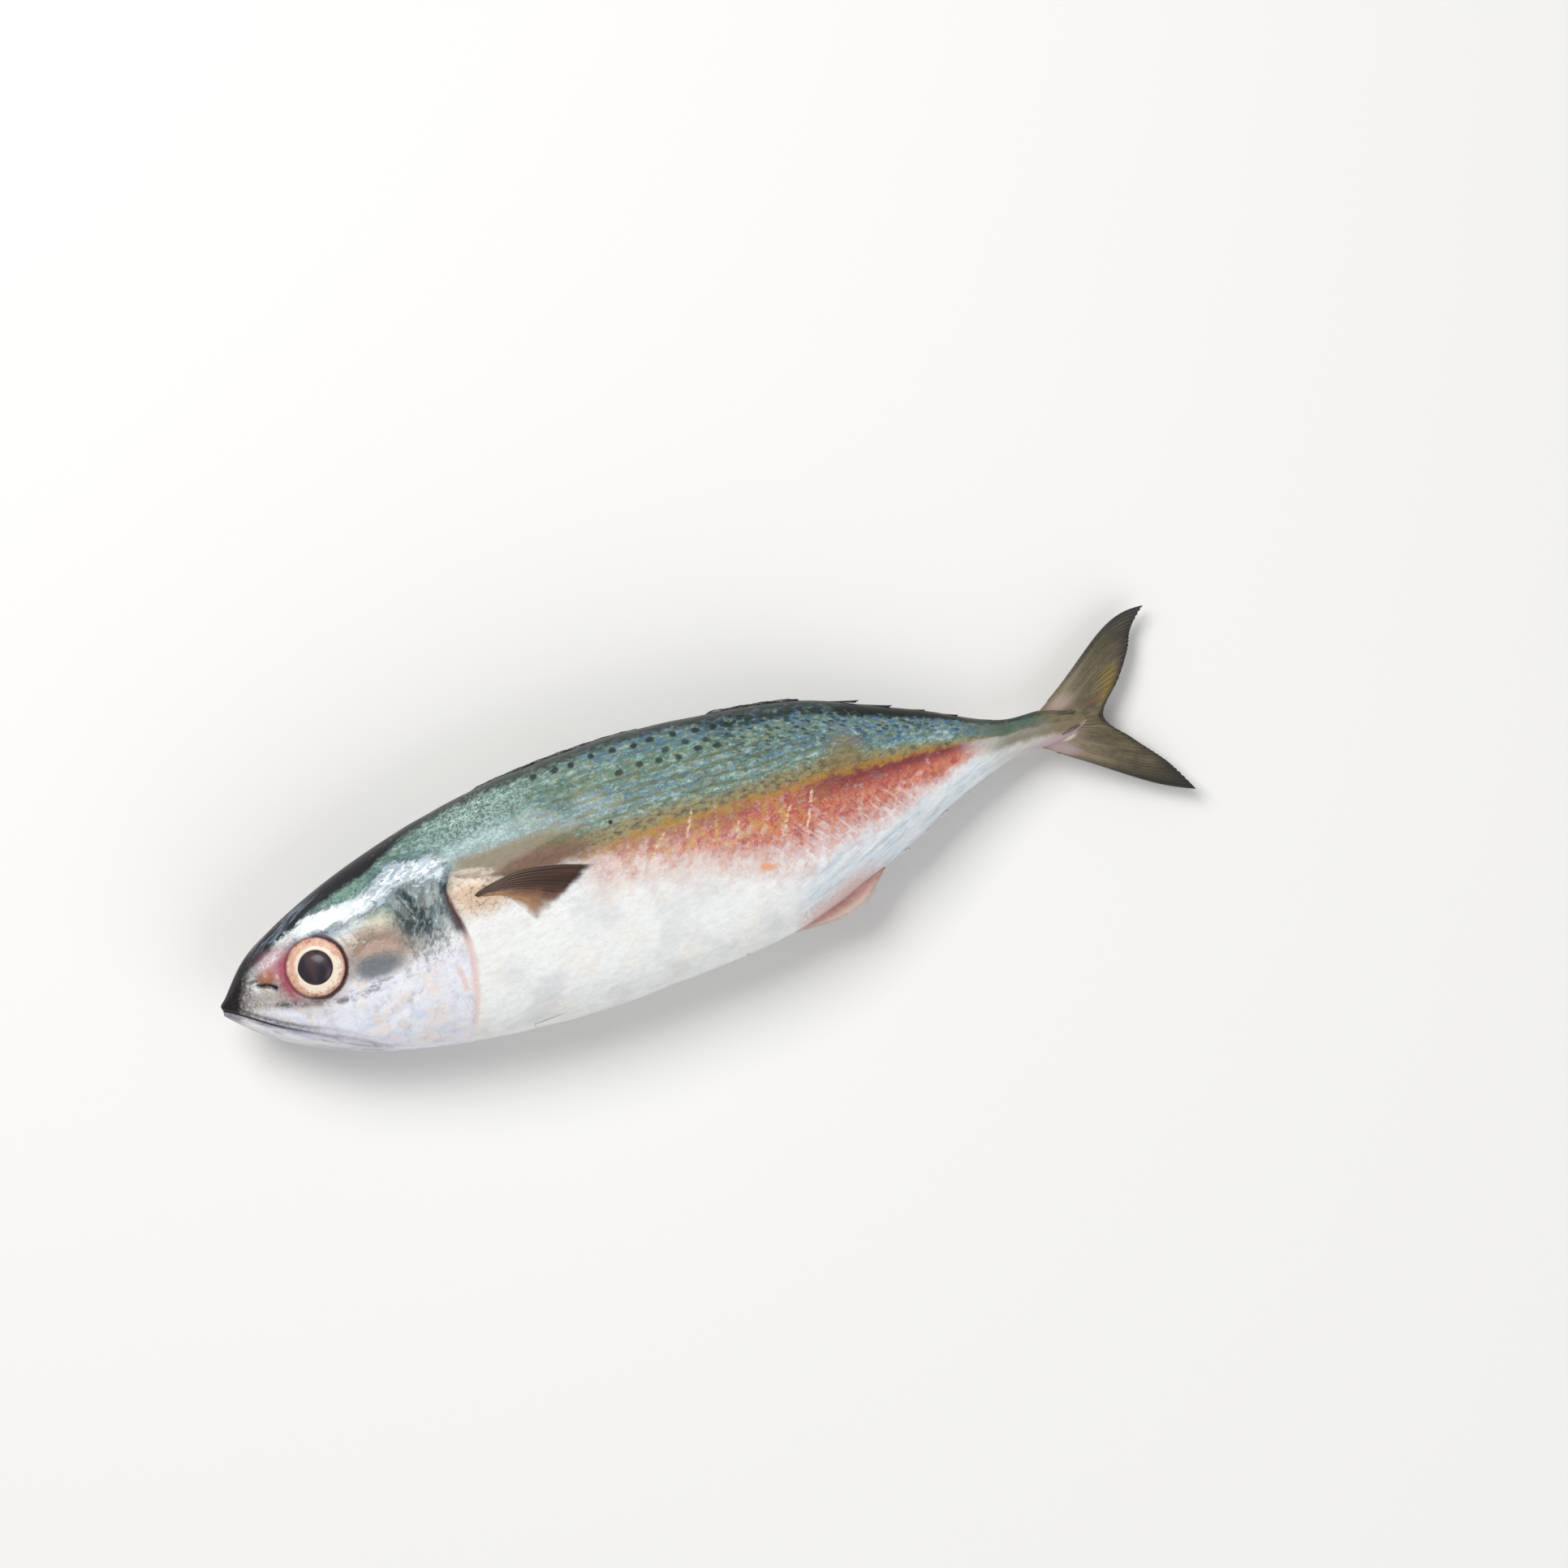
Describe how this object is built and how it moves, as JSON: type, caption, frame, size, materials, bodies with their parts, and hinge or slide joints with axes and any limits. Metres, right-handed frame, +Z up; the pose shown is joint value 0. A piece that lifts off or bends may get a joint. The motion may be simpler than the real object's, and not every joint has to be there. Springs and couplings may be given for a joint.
{
  "type": "whole raw mackerel",
  "caption": "Whole raw mackerel lying on its right flank, with folded fins, a forked tail, a closed mouth and gill cover, and a clear domed eye.",
  "frame": {"origin": "centre of the fish's outline as seen from above, at the level of the surface it lies on", "axes": "+X from the snout to the tail, +Y from the belly to the back, +Z up through the left flank"},
  "size_m": [0.302, 0.079, 0.0438],
  "materials": {
    "skin": "wet and shiny"
  },
  "bodies": {
    "root": {"fish": "skin"}
  },
  "joints": []
}
